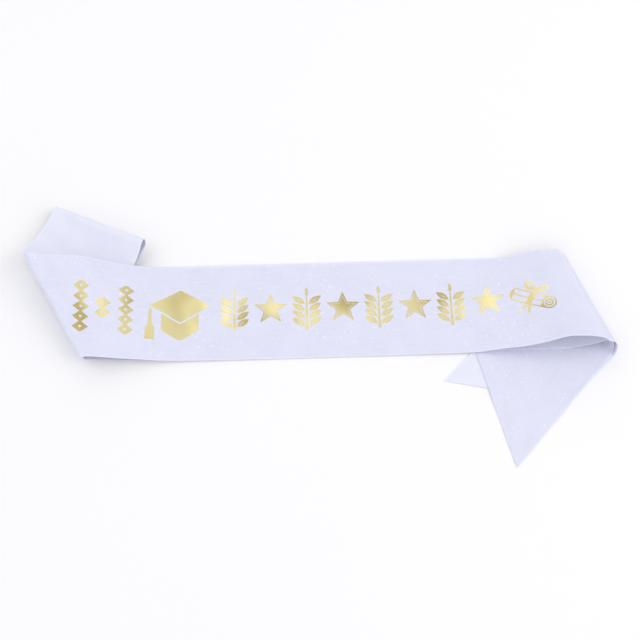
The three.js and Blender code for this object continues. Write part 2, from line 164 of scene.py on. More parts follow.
UNDER_FLAP_HEIGHTS = (
    (0, 0, 0.04, 0.13),
    (0.2, 0.02, 0.07, 0.07),
    (0.4, 0.12, 0.13, 0.1),
    (0.7, 0.27, 0.22, 0.17),
    (1, 0.54, 0.4, 0.31),
)
LOWER_HEIGHTS = (
    (0, 0.17, 0.15, 0.15),
    (0.06, 0.09, 0.07, 0.07),
    (0.14, 0.02, 0.01, 0),
    (0.2, 0, 0, 0),
    (0.925, 0, 0, 0),
    (0.97, 0, 0.03, 0.19),
    (1, 0.01, 0.09, 0.41),
)

# Directions in plan, in degrees, in which the flap and the two tails leave the main stretch
FLAP_HEADING = 65
BACK_TAIL_HEADING = -136
FRONT_TAIL_HEADING = -132.3

# How far each roll of cloth stands out past its crease, at the far and the near edge
Ends = namedtuple("Ends", "far near")
OUTER_LEFT_ROLL = Ends(1 * MM, 6 * MM)
INNER_LEFT_ROLL = Ends(2 * MM, 2 * MM)
MIDDLE_ROLL = Ends(3.6 * MM, 3.2 * MM)
OUTER_RIGHT_ROLL = Ends(1.4 * MM, 4.8 * MM)
INNER_RIGHT_ROLL = Ends(0.7 * MM, 4.5 * MM)

# The laid cloth's soft waves: share, radians per metre along x and y, and start
WAVES = ((1, 61, 23, 0), (0.7, -47, 74, 1.3), (0.5, 128, -51, 0.4), (0.35, 93, 167, 2.1))

# How the lower layer nests in the upper one, and the runs in which layers climb onto the tails
NESTING_INSET = 3.2 * MM
LOWER_LAYER_SHIFT = 2 * MM
CLIMB = 45 * MM
CLIMB_MARGIN = 10 * MM
TAIL_CLIMB = 30 * MM


def smooth_value(places, values, along):
    """A smooth value between the given ones, without overshoot."""
    rises = np.diff(values) / np.diff(places)
    slopes = np.zeros(len(places))
    same_way = rises[:-1] * rises[1:] > 0
    total = np.where(same_way, rises[:-1] + rises[1:], 1)
    slopes[1:-1] = np.where(same_way, 2 * rises[:-1] * rises[1:] / total, 0)
    i = np.clip(np.searchsorted(places, along, side="right") - 1, 0, len(places) - 2)
    span = places[i + 1] - places[i]
    t = np.clip((along - places[i]) / span, 0, 1)
    ease = t * t * (3 - 2 * t)
    bend = slopes[i] * t * (1 - t) ** 2 + slopes[i + 1] * t * t * (t - 1)
    return values[i] + (values[i + 1] - values[i]) * ease + span * bend


def table_height(rows, along, across):
    """Height at a share along the stretch and at a share across it from the near edge."""
    places, *columns = np.array(rows, float).T
    far, middle, near = (smooth_value(places, values, along) for values in columns)
    side = 2 * across - 1
    bow = (near + far) / 2 - middle
    return sizes().corner_lift * (middle + side * (far - near) / 2 + bow * side * side)


def direction(degrees):
    return np.array([math.cos(math.radians(degrees)), math.sin(math.radians(degrees))])


def cot(degrees):
    return 1 / math.tan(math.radians(degrees))


def smoothstep(value, low, high):
    t = np.clip((value - low) / (high - low), 0, 1)
    return t * t * (3 - 2 * t)


class Run:
    """A stretch in plan: where it starts, its heading, and the side on which its far edge lies."""

    def __init__(self, start, heading, side):
        self.start = np.array(start, float)
        self.heading = heading
        self.side = side

    def point(self, along, across):
        along = np.asarray(along, float)[..., None]
        across = np.asarray(across, float)[..., None]
        aside = direction(self.heading + 90) * self.side
        return self.start + direction(self.heading) * along + aside * across


class Crease:
    """A crease across the band: the ribbon rolls over it and leaves under or over itself."""

    def __init__(self, run, reach, next_heading, roll, start_height, end_height):
        turn = (run.side * (next_heading - run.heading)) % 360
        self.length = sizes().width / math.sin(math.radians(turn / 2))
        far_arc, near_arc = (
            math.pi * math.hypot(bulge, (start_height(edge) - end_height(edge)) / 2) / math.sqrt(2)
            for bulge, edge in zip(roll, (1.0, 0.0))
        )
        self.fan = math.degrees(math.atan((far_arc - near_arc) / self.length))
        self.before = (turn + self.fan) / 2
        self.after = (turn - self.fan) / 2
        self.roll = roll
        self.heights = start_height, end_height
        self.run = run
        self.reach = reach
        lean = math.radians(self.before)
        self.shift = np.array([math.sin(lean), -math.cos(lean)]) * (far_arc + near_arc) / 2
        self.centre = run.point(reach, 0)
        self.next = Run((0, 0), next_heading, -run.side)
        self.next.start = self.centre - self.next.point(*self.shift)
        self.ahead = direction(run.heading + run.side * self.before)
        self.out = direction(run.heading + run.side * (self.before - 90))

    def lead(self, w):
        return self.run.point(self.reach + w * cot(self.before), w)

    def leave(self, w):
        return self.next.point(self.shift[0] + (w - self.shift[1]) * cot(self.after), w)


def resting_half_thickness():
    """Half the thickness of the woven edges, on which the cloth rests."""
    return (sizes().thickness + sizes().selvage_rise) / 2


def lifted(plan, height):
    """Points of the cloth's middle, from their places in plan and the height of its underside."""
    level = np.broadcast_to(height + resting_half_thickness(), plan.shape[:-1])
    return np.concatenate([plan, level[..., None]], -1)


def stretch_surface(start_line, end_line, height):
    """A flat or waved part of the cloth's middle, over shares along and across."""

    def surface(along, across):
        w = (across - 0.5) * sizes().width
        plan = start_line(w) * (1 - along[..., None]) + end_line(w) * along[..., None]
        return lifted(plan, height(along, across, plan))

    return surface


def roll_surface(crease):
    """The cloth's middle where it rolls over a crease."""
    start_height, end_height = crease.heights

    def surface(along, across):
        w = (across - 0.5) * sizes().width
        lean = np.radians(crease.before - along * crease.fan)
        place = (w - along * crease.shift[1]) / np.sin(lean)
        share = place / crease.length + 0.5
        bulge = crease.roll.near + (crease.roll.far - crease.roll.near) * share
        out = bulge * np.sin(math.pi * along)
        plan = crease.centre + crease.ahead * place[..., None] + crease.out * out[..., None]
        mix = (1 - np.cos(math.pi * along)) / 2
        return lifted(plan, start_height(across) * (1 - mix) + end_height(across) * mix)

    return surface


def turned_round(surface):
    return lambda along, across: surface(1 - along, across)


def height_over(rows, base=0.0):
    """The height over a stretch that lies on a base."""
    return lambda along, across, _plan=None: base + table_height(rows, along, across)


def ripple(plan):
    """Soft waves, the same for all layers at a place, so that none cuts through another."""
    x, y = plan[..., 0], plan[..., 1]
    height = sum(share * np.sin(kx * x + ky * y + start) for share, kx, ky, start in WAVES)
    most = sum(wave[0] for wave in WAVES)
    return sizes().ripple_height * (1 + height / most) / 2


# The mesh's columns and sections, and where the woven edge is thickest, as a share of its width
INNER_COLUMNS = 37
ROLL_SECTIONS = 14
LONGEST_ROLL = 40 * MM
MEASURING_STEPS = 40
SELVAGE_CREST = 0.45
SELVAGE_SPREAD = 0.3


class FoldedBand:
    """The whole folded ribbon: its parts in turn, from the back tail's cut to the front tail's."""

    def __init__(self):
        band = sizes()
        pitch = band.thickness + band.layer_gap
        on_tails = 2 * pitch
        half = band.main_length / 2
        flap_height = height_over(FLAP_HEIGHTS, pitch)
        under_flap_height = height_over(UNDER_FLAP_HEIGHTS)

        def on_surface(*_):
            return 0.0

        def on_back_tail(*_):
            return pitch

        self.outer_right = Crease(
            Run((0, 0), 0, 1), half, BACK_TAIL_HEADING, OUTER_RIGHT_ROLL,
            partial(height_over(UPPER_HEIGHTS, on_tails + pitch), 1), on_surface,
        )
        back_tail = self.outer_right.next
        corner = back_tail.point(0, band.width / 2)
        inward = direction(back_tail.heading - 90 * back_tail.side)

        def over_tails(plan):
            inside = (plan - corner) @ inward + CLIMB_MARGIN
            return on_tails * smoothstep(inside, -CLIMB, 0)

        def upper_height(along, across, plan):
            return over_tails(plan) + pitch + table_height(UPPER_HEIGHTS, along, across)

        def lower_height(along, across, plan):
            return over_tails(plan) + table_height(LOWER_HEIGHTS, along, across)

        self.outer_left = Crease(
            Run((0, 0), 180, -1), half, FLAP_HEADING, OUTER_LEFT_ROLL,
            partial(height_over(UPPER_HEIGHTS, pitch), 0), partial(flap_height, 0),
        )
        middle = Crease(
            self.outer_left.next, band.flap_length, FLAP_HEADING + 180, MIDDLE_ROLL,
            partial(flap_height, 1), partial(under_flap_height, 0),
        )
        inner_ends = partial(under_flap_height, 1), partial(height_over(LOWER_HEIGHTS), 0)
        trial = Crease(middle.next, band.flap_length, 0, INNER_LEFT_ROLL, *inner_ends)
        drift = trial.next.start[1] - LOWER_LAYER_SHIFT
        reach = band.flap_length + drift / math.sin(math.radians(-middle.next.heading))
        inner_left = Crease(middle.next, reach, 0, INNER_LEFT_ROLL, *inner_ends)
        lower_layer = inner_left.next
        lower_reach = self.outer_right.centre[0] - NESTING_INSET - lower_layer.start[0]
        inner_right = Crease(
            lower_layer, lower_reach, FRONT_TAIL_HEADING, INNER_RIGHT_ROLL,
            partial(height_over(LOWER_HEIGHTS, on_tails), 1), on_back_tail,
        )
        front_tail = inner_right.next
        slant = cot(math.degrees(band.cut_angle))

        def back_cut(w):
            return back_tail.point(band.back_tail_length + w * slant, w)

        def front_cut(w):
            return front_tail.point(band.front_tail_length - w * slant, w)

        cut_corner = back_cut(band.width / 2)
        cut_lean = 90 - math.degrees(band.cut_angle)
        cut_inward = -direction(back_tail.heading - back_tail.side * cut_lean)
        edge_inward = direction(back_tail.heading + 90 * back_tail.side)

        def front_tail_height(_along, _across, plan):
            behind_cut = (plan - cut_corner) @ cut_inward
            beside_edge = (plan - cut_corner) @ edge_inward + band.width
            return pitch * smoothstep(np.minimum(behind_cut, beside_edge), -TAIL_CLIMB, 0)

        self.upper_layer = stretch_surface(
            self.outer_left.lead, self.outer_right.lead, upper_height
        )
        self.parts = [
            turned_round(stretch_surface(self.outer_right.leave, back_cut, on_surface)),
            turned_round(roll_surface(self.outer_right)),
            turned_round(self.upper_layer),
            roll_surface(self.outer_left),
            stretch_surface(self.outer_left.leave, middle.lead, flap_height),
            roll_surface(middle),
            stretch_surface(middle.leave, inner_left.lead, under_flap_height),
            roll_surface(inner_left),
            stretch_surface(inner_left.leave, inner_right.lead, lower_height),
            roll_surface(inner_right),
            stretch_surface(inner_right.leave, front_cut, front_tail_height),
        ]

    def rows(self):
        """The cloth's middle as rows of points, and the shares across of the columns."""
        band = sizes()
        edge = band.selvage_width / band.width
        crest = edge * SELVAGE_CREST
        inner = np.linspace(edge, 1 - edge, INNER_COLUMNS)
        columns = np.concatenate([[0, crest], inner, [1 - crest, 1]])
        across = columns[None, :]
        made = []
        for part in self.parts:
            shares = np.linspace(0, 1, MEASURING_STEPS)[:, None]
            middle_line = part(shares, np.array([[0.5]]))[:, 0]
            length = np.linalg.norm(np.diff(middle_line, axis=0), axis=1).sum()
            from_end_to_end = np.linalg.norm(middle_line[-1] - middle_line[0])
            least = ROLL_SECTIONS if from_end_to_end < LONGEST_ROLL else 2
            sections = max(least, round(length / band.section_pitch))
            along = np.linspace(0, 1, sections + 1)[:, None]
            grid = part(along, across)
            made.append(grid if not made else grid[1:])
        points = np.concatenate(made)
        points[..., 2] += ripple(points)
        return points, columns

    def over_upper_layer(self, x, w, above):
        """Points above the upper layer's printed face, by their places along and across it."""
        left = self.outer_left.lead(w)[..., 0]
        right = self.outer_right.lead(w)[..., 0]

        def at(place, across):
            point = self.upper_layer((place - left) / (right - left), across / sizes().width + 0.5)
            point[..., 2] += ripple(point)
            return point

        step = 0.5 * MM
        ahead = at(x + step, w) - at(x - step, w)
        aside = at(x, w + step) - at(x, w - step)
        normal = np.cross(ahead, aside)
        normal /= np.linalg.norm(normal, axis=-1)[..., None]
        return at(x, w) + normal * (sizes().thickness / 2 + above)[..., None]


# Helpers for shader nodes

def feed(tree, socket, value):
    """Links a socket to another one, or sets its own value."""
    if isinstance(value, bpy.types.NodeSocket):
        tree.links.new(value, socket)
    else:
        socket.default_value = value


def feed_named(tree, node, **values):
    """Feeds a node's sockets by their titles, with an underscore for each space."""
    for title, value in values.items():
        feed(tree, node.inputs[title.replace("_", " ")], value)


FLOAT, VECTOR = "NodeSocketFloat", "NodeSocketVector"


def new_group(name, inputs, outputs):
    tree = bpy.data.node_groups.new(name, "ShaderNodeTree")
    for side, sockets in (("INPUT", inputs), ("OUTPUT", outputs)):
        for title, kind in sockets.items():
            tree.interface.new_socket(title, in_out=side, socket_type=kind)
    source = tree.nodes.new("NodeGroupInput")
    return tree, source.outputs, tree.nodes.new("NodeGroupOutput")


def operation_node(tree, kind, operation, *values):
    node = tree.nodes.new(kind)
    node.operation = operation
    for socket, value in zip(node.inputs, values):
        feed(tree, socket, value)
    return node.outputs[0]


def math_node(tree, operation, *values):
    return operation_node(tree, "ShaderNodeMath", operation, *values)


def times(tree, first, second):
    return math_node(tree, "MULTIPLY", first, second)


def plus(tree, first, second):
    return math_node(tree, "ADD", first, second)


def vector_node(tree, operation, *values):
    return operation_node(tree, "ShaderNodeVectorMath", operation, *values)


def places_on_ribbon(tree, cloth):
    """The places along and across the ribbon, apart."""
    parts = tree.nodes.new("ShaderNodeSeparateXYZ")
    tree.links.new(cloth, parts.inputs[0])
    return parts.outputs["X"], parts.outputs["Y"]


def ramp_between(tree, value, low, high):
    """A smooth mask from 0 at low to 1 at high."""
    node = tree.nodes.new("ShaderNodeMapRange")
    node.interpolation_type = "SMOOTHSTEP"
    feed_named(tree, node, Value=value, From_Min=low, From_Max=high)
    return node.outputs["Result"]


def noise_node(tree, vector, scale, detail=3.0, roughness=0.5):
    node = tree.nodes.new("ShaderNodeTexNoise")
    feed_named(tree, node, Vector=vector, Scale=scale, Detail=detail, Roughness=roughness)
    return node.outputs["Fac"]


def rounds(tree, value):
    """Round humps, one for each unit of the value."""
    wave = math_node(tree, "SINE", times(tree, value, math.pi))
    return math_node(tree, "ABSOLUTE", wave)


# Node groups that the materials share. The satin's floats pass over five threads and start two on.
FLOAT_SPAN = 5
FLOAT_STEP = 2
FLOAT_DEPTH = 0.5
SLUB_STRETCH = (0.05, 1.0, 1.0)
SLUBS_PER_METRE = 900.0
FINE_DENTS = 4.0
FINE_DENT_SHARE = 0.18
FLAKE_REACH = 0.42


def satin_weave_group():
    """Fine threads along the ribbon, with short floats, from coordinates in metres."""
    inputs = {"Cloth": VECTOR, "Threads per metre": FLOAT}
    tree, source, out = new_group("Satin weave", inputs, {"Height": FLOAT, "Slub": FLOAT})
    along, across = places_on_ribbon(tree, source["Cloth"])
    warp = times(tree, across, source["Threads per metre"])
    weft = times(tree, along, source["Threads per metre"])
    start = times(tree, warp, FLOAT_STEP / FLOAT_SPAN)
    stagger = plus(tree, times(tree, weft, 1 / FLOAT_SPAN), start)
    floats = times(tree, rounds(tree, stagger), FLOAT_DEPTH)
    floats = plus(tree, floats, 1 - FLOAT_DEPTH)
    height = times(tree, rounds(tree, warp), floats)
    stretched = vector_node(tree, "MULTIPLY", source["Cloth"], SLUB_STRETCH)
    slub = noise_node(tree, stretched, SLUBS_PER_METRE, 2.0)
    feed_named(tree, out, Height=height, Slub=slub)
    return tree


def crinkle_group():
    """The small soft dents of a ribbon that has been handled, with painted shade in their hollows
    and a painted highlight on their crests.
    """
    tree, source, out = new_group(
        "Handled cloth", {"Place": VECTOR, "Scale": FLOAT}, {"Height": FLOAT, "Tone": FLOAT}
    )
    broad = noise_node(tree, source["Place"], source["Scale"], 2.0, 0.4)
    fine_scale = times(tree, source["Scale"], FINE_DENTS)
    fine = noise_node(tree, source["Place"], fine_scale)
    height = plus(tree, broad, times(tree, fine, FINE_DENT_SHARE))
    feed_named(tree, out, Height=height, Tone=ramp_between(tree, broad, 0.3, 0.7))
    return tree


def glitter_group():
    """Small flakes scattered over a face, each turned its own way: a mask and a normal."""
    tree, source, out = new_group(
        "Glitter flakes",
        {"Place": VECTOR, "Flakes per metre": FLOAT, "Cover": FLOAT, "Lean": FLOAT},
        {"Mask": FLOAT, "Normal": VECTOR},
    )
    cells = tree.nodes.new("ShaderNodeTexVoronoi")
    feed_named(tree, cells, Vector=source["Place"], Scale=source["Flakes per metre"])
    random = tree.nodes.new("ShaderNodeSeparateColor")
    tree.links.new(cells.outputs["Color"], random.inputs[0])
    chosen = math_node(tree, "LESS_THAN", random.outputs[0], source["Cover"])
    disc = math_node(tree, "LESS_THAN", cells.outputs["Distance"], FLAKE_REACH)
    centred = vector_node(tree, "SUBTRACT", cells.outputs["Color"], (0.5, 0.5, 0.5))
    leaned = vector_node(tree, "SCALE", centred)
    tree.links.new(source["Lean"], leaned.node.inputs["Scale"])
    upright = tree.nodes.new("ShaderNodeNewGeometry").outputs["Normal"]
    turned = vector_node(tree, "NORMALIZE", vector_node(tree, "ADD", upright, leaned))
    feed_named(tree, out, Mask=times(tree, chosen, disc), Normal=turned)
    return tree


def edge_group():
    """Where a place across the ribbon lies in its woven edge: the mask of the edge's painted
    highlight.
    """
    tree, source, out = new_group(
        "Woven edge", {"Cloth": VECTOR, "Inner": FLOAT, "Outer": FLOAT}, {"Mask": FLOAT}
    )
    from_middle = math_node(tree, "ABSOLUTE", places_on_ribbon(tree, source["Cloth"])[1])
    feed_named(tree, out, Mask=ramp_between(tree, from_middle, source["Inner"], source["Outer"]))
    return tree


def shared(store, name, make):
    """The thing of this name in Blender's store, made the first time it is asked for."""
    return store.get(name) or make()


# Materials

def new_material(name):
    material = bpy.data.materials.new(name)
    material.use_nodes = True
    tree = material.node_tree
    return material, tree, tree.nodes["Principled BSDF"]


def place_group(tree, name, make, **values):
    node = tree.nodes.new("ShaderNodeGroup")
    node.node_tree = shared(bpy.data.node_groups, name, make)
    feed_named(tree, node, **values)
    return node.outputs


def mix_node(tree, data_type, sockets, share, first, second):
    node = tree.nodes.new("ShaderNodeMix")
    node.data_type = data_type
    for socket, value in zip(sockets, (share, first, second)):
        feed(tree, node.inputs[socket], value)
    return node


def mix_colours(tree, share, first, second):
    first, second = ((*one, 1) if isinstance(one, tuple) else one for one in (first, second))
    return mix_node(tree, "RGBA", (0, 6, 7), share, first, second).outputs[2]


def mix_normals(tree, share, first, second):
    return mix_node(tree, "VECTOR", (0, 4, 5), share, first, second).outputs[1]


def bump(tree, height, distance, strength, **under):
    node = tree.nodes.new("ShaderNodeBump")
    feed_named(tree, node, Height=height, Distance=distance, Strength=strength, **under)
    return node.outputs["Normal"]


def shade(colour, factor):
    return tuple(min(1.0, channel * factor) for channel in colour)


def cloth_coordinates(tree):
    node = tree.nodes.new("ShaderNodeUVMap")
    node.uv_map = "cloth"
    return node.outputs["UV"]


THREADS_PER_METRE = 2400.0
THREAD_DEPTH = 0.05 * MM
DENTS_PER_METRE = 45.0
DENT_DEPTH = 0.9 * MM
EDGE_START = 1.5 * MM
EDGE_FULL = 0.7 * MM

# How much darker or lighter than the satin are its dents (painted shade in hollows, painted
# highlight on crests), slubs, woven edge (a painted highlight along the rim) and flakes (a painted
# glint)
DENT_SHADE_AND_HIGHLIGHT = (0.975, 1.015)
SLUB_SHADE = 1.02
EDGE_HIGHLIGHT = 1.07
FLAKE_GLINT = 1.3

# Flakes per metre and their share of the cover: the fine and the coarse ones
FLAKE_KINDS = ((1300.0, 1), (620.0, 0.25))
FLAKE_LEAN = 0.5
FLAKE_METAL = 0.1
FLAKE_ROUGHNESS = 0.22


def weave_of(tree, cloth):
    return place_group(
        tree, "Satin weave", satin_weave_group, Cloth=cloth, Threads_per_metre=THREADS_PER_METRE
    )


def satin(name, colour, glitter_cover, roughness):
    """Polyester satin: threads, dents with painted shade and highlight, a woven edge lightened by a
    painted highlight, and flakes on the printed face, lightened as a painted glint.
    """
    material, tree, surface = new_material(name)
    cloth = cloth_coordinates(tree)
    weave = weave_of(tree, cloth)
    dents = place_group(tree, "Handled cloth", crinkle_group, Place=cloth, Scale=DENTS_PER_METRE)
    half_width = sizes().width / 2
    edge = place_group(
        tree, "Woven edge", edge_group, Cloth=cloth,
        Inner=half_width - EDGE_START, Outer=half_width - EDGE_FULL,
    )
    # Painted shade in the dents' hollows and a painted highlight on their crests
    toned = mix_colours(tree, dents["Tone"], *(shade(colour, part) for part in DENT_SHADE_AND_HIGHLIGHT))
    slubs = ramp_between(tree, weave["Slub"], 0.35, 0.75)
    streaked = mix_colours(tree, slubs, toned, shade(colour, SLUB_SHADE))
    # The woven edge lightened as a painted highlight along the rim
    cloth_colour = mix_colours(tree, edge["Mask"], streaked, shade(colour, EDGE_HIGHLIGHT))
    dented = bump(tree, dents["Height"], DENT_DEPTH, 0.5)
    normal = bump(tree, weave["Height"], THREAD_DEPTH, 0.45, Normal=dented)
    if glitter_cover:
        flakes = 0.0
        for scale, share in FLAKE_KINDS:
            size = place_group(
                tree, "Glitter flakes", glitter_group, Place=cloth, Flakes_per_metre=scale,
                Cover=glitter_cover * share, Lean=FLAKE_LEAN,
            )
            flakes = math_node(tree, "MAXIMUM", size["Mask"], flakes)
            normal = mix_normals(tree, size["Mask"], normal, size["Normal"])
        # The real flakes, lightened in colour as a painted glint
        cloth_colour = mix_colours(tree, flakes, cloth_colour, shade(colour, FLAKE_GLINT))
        smoother = times(tree, flakes, FLAKE_ROUGHNESS - roughness)
        roughness = plus(tree, smoother, roughness)
        feed(tree, surface.inputs["Metallic"], times(tree, flakes, FLAKE_METAL))
    feed_named(
        tree, surface, Base_Color=cloth_colour, Normal=normal, Roughness=roughness,
        Specular_IOR_Level=0.45, Sheen_Weight=0.12, Sheen_Roughness=0.4,
    )
    return material


# The foil's darker patches of painted reflection, as shares of the gold's red, green and blue, and
# its soft dents
REFLECTION_DARK_GOLD = (0.7, 0.65, 0.52)
SPECKLE_SHADE = 0.8
PATCHES_PER_METRE = 24.0
SPECKLES_PER_METRE = 1500.0
FOIL_DENTS_PER_METRE = 30.0
FOIL_DENT_DEPTH = 3.2 * MM
FOIL_ROUGHNESS = 0.24
PATCH_ROUGHNESS = 0.12


def foil_material():
    """Hot-pressed gold foil: bright and dark patches of painted reflection, speckles, and the
    threads showing through.
    """
    material, tree, surface = new_material("Gold foil")
    cloth = cloth_coordinates(tree)
    gold = tuple(looks().foil)
    reflection_dark = tuple(channel * share for channel, share in zip(gold, REFLECTION_DARK_GOLD))
    reflection_patches = noise_node(tree, cloth, PATCHES_PER_METRE, 0.0)
    # Painted reflection: darker and brighter patches of gold
    toned = mix_colours(tree, ramp_between(tree, reflection_patches, 0.3, 0.52), reflection_dark, gold)
    speckles = ramp_between(tree, noise_node(tree, cloth, SPECKLES_PER_METRE, 2.0), 0.62, 0.75)
    speckled = mix_colours(tree, speckles, toned, shade(gold, SPECKLE_SHADE))
    waves = noise_node(tree, cloth, FOIL_DENTS_PER_METRE, 0.6)
    dented = bump(tree, waves, FOIL_DENT_DEPTH, 0.6)
    threaded = bump(tree, weave_of(tree, cloth)["Height"], THREAD_DEPTH, 0.2, Normal=dented)
    rougher = times(tree, reflection_patches, PATCH_ROUGHNESS)
    feed_named(
        tree, surface, Base_Color=speckled, Normal=threaded, Metallic=1.0,
        Roughness=plus(tree, rougher, FOIL_ROUGHNESS),
    )
    return material


def floor_material():
    material, tree, surface = new_material("Pale floor")
    place = tree.nodes.new("ShaderNodeTexCoord").outputs["Object"]
    floor = tuple(looks().floor)
    clouds = noise_node(tree, place, 3.0)
    toned = mix_colours(tree, clouds, shade(floor, 0.995), shade(floor, 1.005))
    feed_named(tree, surface, Base_Color=toned, Roughness=0.9, Specular_IOR_Level=0.1)
    return material


# Meshes

def add_object(name, mesh):
    piece = bpy.data.objects.new(name, mesh)
    bpy.context.scene.collection.objects.link(piece)
    return piece


def band_mesh(points, columns):
    """The cloth as one closed body: a printed face, a plain face, two woven edges and two cuts."""
    band = sizes()
    ahead = np.gradient(points, axis=0)
    aside = np.gradient(points, axis=1)
    normals = np.cross(aside, ahead)
    normals /= np.linalg.norm(normals, axis=-1)[..., None]
    from_edge = np.minimum(columns, 1 - columns) * band.width
    from_crest = from_edge / band.selvage_width - SELVAGE_CREST
    bead = np.clip(1 - from_crest**2 / SELVAGE_SPREAD, 0, 1)
    half = (band.thickness + band.selvage_rise * bead) / 2
    faces_out = [points + normals * half[None, :, None] * side for side in (1, -1)]
    count, width = points.shape[:2]
    under = count * width
    vertices = np.concatenate([face.reshape(-1, 3) for face in faces_out])
    index = np.arange(under).reshape(count, width)
    corners = index[:-1, :-1], index[:-1, 1:], index[1:, 1:], index[1:, :-1]
    front = np.stack([corner.ravel() for corner in corners], 1)
    near_edge, far_edge, start_cut, end_cut = (
        np.stack([line[:-1], line[1:], line[1:] + under, line[:-1] + under], 1)
        for line in (index[:, 0], index[:, -1], index[0], index[-1])
    )
    turned = [0, 3, 2, 1]
    back = front[:, turned] + under
    edges = near_edge, far_edge[:, turned], start_cut[:, turned], end_cut
    quads = np.concatenate([front, back, *edges])
    mesh = bpy.data.meshes.new("ribbon_cloth")
    mesh.from_pydata(vertices.tolist(), [], quads.tolist())
    slots = np.full(len(quads), 2, np.int32)
    slots[: len(front)] = 0
    slots[len(front) : 2 * len(front)] = 1
    mesh.polygons.foreach_set("material_index", slots)
    middle_line = points[:, width // 2]
    steps = np.linalg.norm(np.diff(middle_line, axis=0), axis=1)
    along = np.concatenate([[0], np.cumsum(steps)])
    across = (columns - 0.5) * band.width
    cloth = np.stack(np.broadcast_arrays(along[:, None], across), -1).reshape(-1, 2)
    write_cloth_coordinates(mesh, np.tile(cloth, (2, 1)))
    finish_mesh(mesh)
    return mesh, float(along[-1])


def write_cloth_coordinates(mesh, cloth):
    """Coordinates in metres along and across the ribbon, for its threads and flakes."""
    layer = mesh.uv_layers.new(name="cloth")
    corners = np.zeros(len(mesh.loops), np.int32)
    mesh.loops.foreach_get("vertex_index", corners)
    layer.data.foreach_set("uv", cloth[corners].astype(np.float32).ravel())


SHARP_ANGLE = math.radians(50)


def finish_mesh(mesh):
    mesh.validate()
    mesh.polygons.foreach_set("use_smooth", [True] * len(mesh.polygons))
    mesh.set_sharp_from_angle(angle=SHARP_ANGLE)
    mesh.update()


# Outlines of the ornaments: lists of closed loops about their own middles, in metres

def quadratic(first, control, last, steps=7):
    """Points of a quadratic curve after its first point."""
    t = np.linspace(0, 1, steps + 1)[1:, None]
    first, control, last = (np.array(point, float) for point in (first, control, last))
    return ((1 - t) ** 2 * first + 2 * t * (1 - t) * control + t * t * last).tolist()


def circle(centre, radius, steps=28):
    angles = np.linspace(0, 2 * math.pi, steps, endpoint=False)
    return [[centre[0] + radius * math.cos(a), centre[1] + radius * math.sin(a)] for a in angles]


def star_loop(points, reach, waist):
    angles = math.pi / 2 + np.arange(2 * points) * math.pi / points
    radii = np.where(np.arange(2 * points) % 2, reach * waist, reach)
    return np.stack([radii * np.cos(angles), radii * np.sin(angles)], 1).tolist()


def mirrored(right):
    """A closed loop from the points of its right half in turn."""
    return [*right, *([-x, y] for x, y in reversed(right))]


def scaled(loop, width, height):
    return [[x * width, y * height] for x, y in loop]


STAR_WAIST = 0.42
STAR_INLINE = (0.76, 0.68)


def star_outline(width):
    """A star with a fine unprinted line inside its edge."""
    return [star_loop(5, width / 2 * share, STAR_WAIST) for share in (1, *STAR_INLINE)]


# A leaf in shares of its length: where it is widest, and its vein's root, tip and width
LEAF_MIDDLE = 0.45
VEIN_ROOT = 0.2
VEIN_TIP = 0.72
VEIN_WIDTH = 0.1


def pointed_loop(root, tip, middle, bulge, steps):
    """Two curves from root to tip and back, on both sides of the middle."""
    there = quadratic(root, middle + bulge, tip, steps)
    back = quadratic(tip, middle - bulge, root, steps)
    return [root.tolist(), *there, *back[:-1]]


def leaf_loops(root, tip, belly):
    """A leaf from root to tip, belly wide, with a fine vein left open."""
    root, tip = np.array(root, float), np.array(tip, float)
    along = tip - root
    bulge = np.array([-along[1], along[0]]) * belly
    middle = root + along * LEAF_MIDDLE
    vein = root + along * VEIN_ROOT, root + along * VEIN_TIP
    return [
        pointed_loop(root, tip, middle, bulge, 7),
        pointed_loop(*vein, middle, bulge * VEIN_WIDTH, 4),
    ]


# A sprig's stem in shares of its width, and the stem's ends and the gap to the leaves in its own
STEM = 0.035
STEM_FOOT = 1.5
STEM_TOP = 0.6
LEAF_GAP = 1.9

# Its leaves in shares of their pitch, and how wide they are in shares of their length
STEM_RISE = 0.05
LEAF_FOOT = 0.62
LEAF_RISE = 1.05
TOP_LEAF = 1.4
TOP_LEAF_FOOT = 0.12
LEAF_BELLY = 0.42
TOP_LEAF_BELLY = 0.36


def sprig_outline(pairs, width, height):
    """A laurel sprig: pairs of leaves on a tapered stem, and one at the top."""
    stem = width * STEM
    pitch = height / (pairs + 0.5 + TOP_LEAF)
    bottom = -height / 2
    crown = bottom + pitch * (pairs + 0.5)
    top = crown + pitch * STEM_RISE
    foot, tip = stem * STEM_FOOT, stem * STEM_TOP
    loops = [[[-foot, bottom], [foot, bottom], [tip, top], [-tip, top]]]
    for i in range(pairs):
        root = bottom + pitch * (i + LEAF_FOOT)
        for side in (-1, 1):
            leaf_tip = (side * width / 2, root + pitch * LEAF_RISE)
            loops += leaf_loops((side * stem * LEAF_GAP, root), leaf_tip, LEAF_BELLY)
    top_root = crown + pitch * TOP_LEAF_FOOT
    return loops + leaf_loops((0, top_root), (0, height / 2), TOP_LEAF_BELLY)


# A lozenge's neck in shares of its width, and its rise and eye in shares of the lozenges' pitch
NECK = 0.08
LOZENGE_RISE = 0.98
LOZENGE_EYE = 0.13


def bead_column_outline(count, width, height):
    """A column of lozenges that run into each other at narrow necks, each with a small eye."""
    neck = width * NECK
    pitch = height / count
    right = []
    eyes = []
    for i in range(count):
        y = -height / 2 + pitch * i
        right += [[neck, y], [width / 2, y + pitch / 2], [neck, y + pitch * LOZENGE_RISE]]
        eyes.append(circle((0, y + pitch / 2), pitch * LOZENGE_EYE, 14))
    return [mirrored(right), *eyes]


